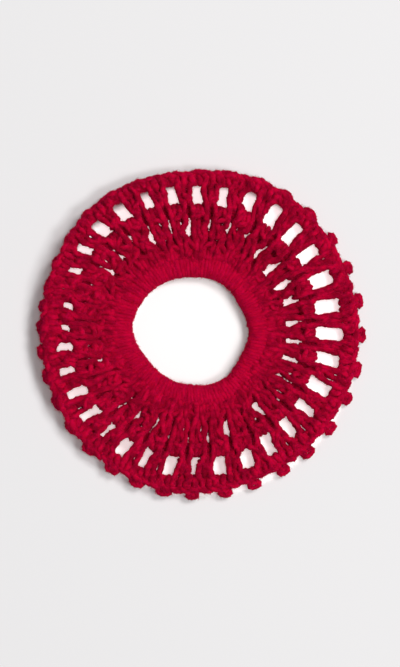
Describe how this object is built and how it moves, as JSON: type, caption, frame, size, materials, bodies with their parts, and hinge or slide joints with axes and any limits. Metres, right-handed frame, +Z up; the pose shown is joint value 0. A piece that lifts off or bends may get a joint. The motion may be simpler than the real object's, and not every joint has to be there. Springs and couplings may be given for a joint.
{
  "type": "crochet hair snood",
  "caption": "Round crocheted snood for a hair bun: a ribbed collar over a hair elastic, open mesh rounds and a looped picot edge, lying flat.",
  "frame": {"origin": "centre of the outline seen from above, on the surface the snood lies on", "axes": "+Z up, away from the surface; +Y towards the top of the snood in the picture; +X to its right"},
  "size_m": [0.131, 0.1312, 0.0128],
  "materials": {
    "elastic": "covered elastic cord",
    "collar_yarn": "soft spun yarn",
    "inner_net_yarn": "soft spun yarn",
    "outer_net_yarn": "soft spun yarn",
    "edge_yarn": "soft spun yarn"
  },
  "bodies": {
    "root": {"hair_elastic": "elastic", "collar_round": "collar_yarn", "inner_net_round": "inner_net_yarn", "outer_net_round": "outer_net_yarn", "picot_edge": "edge_yarn"}
  },
  "joints": []
}
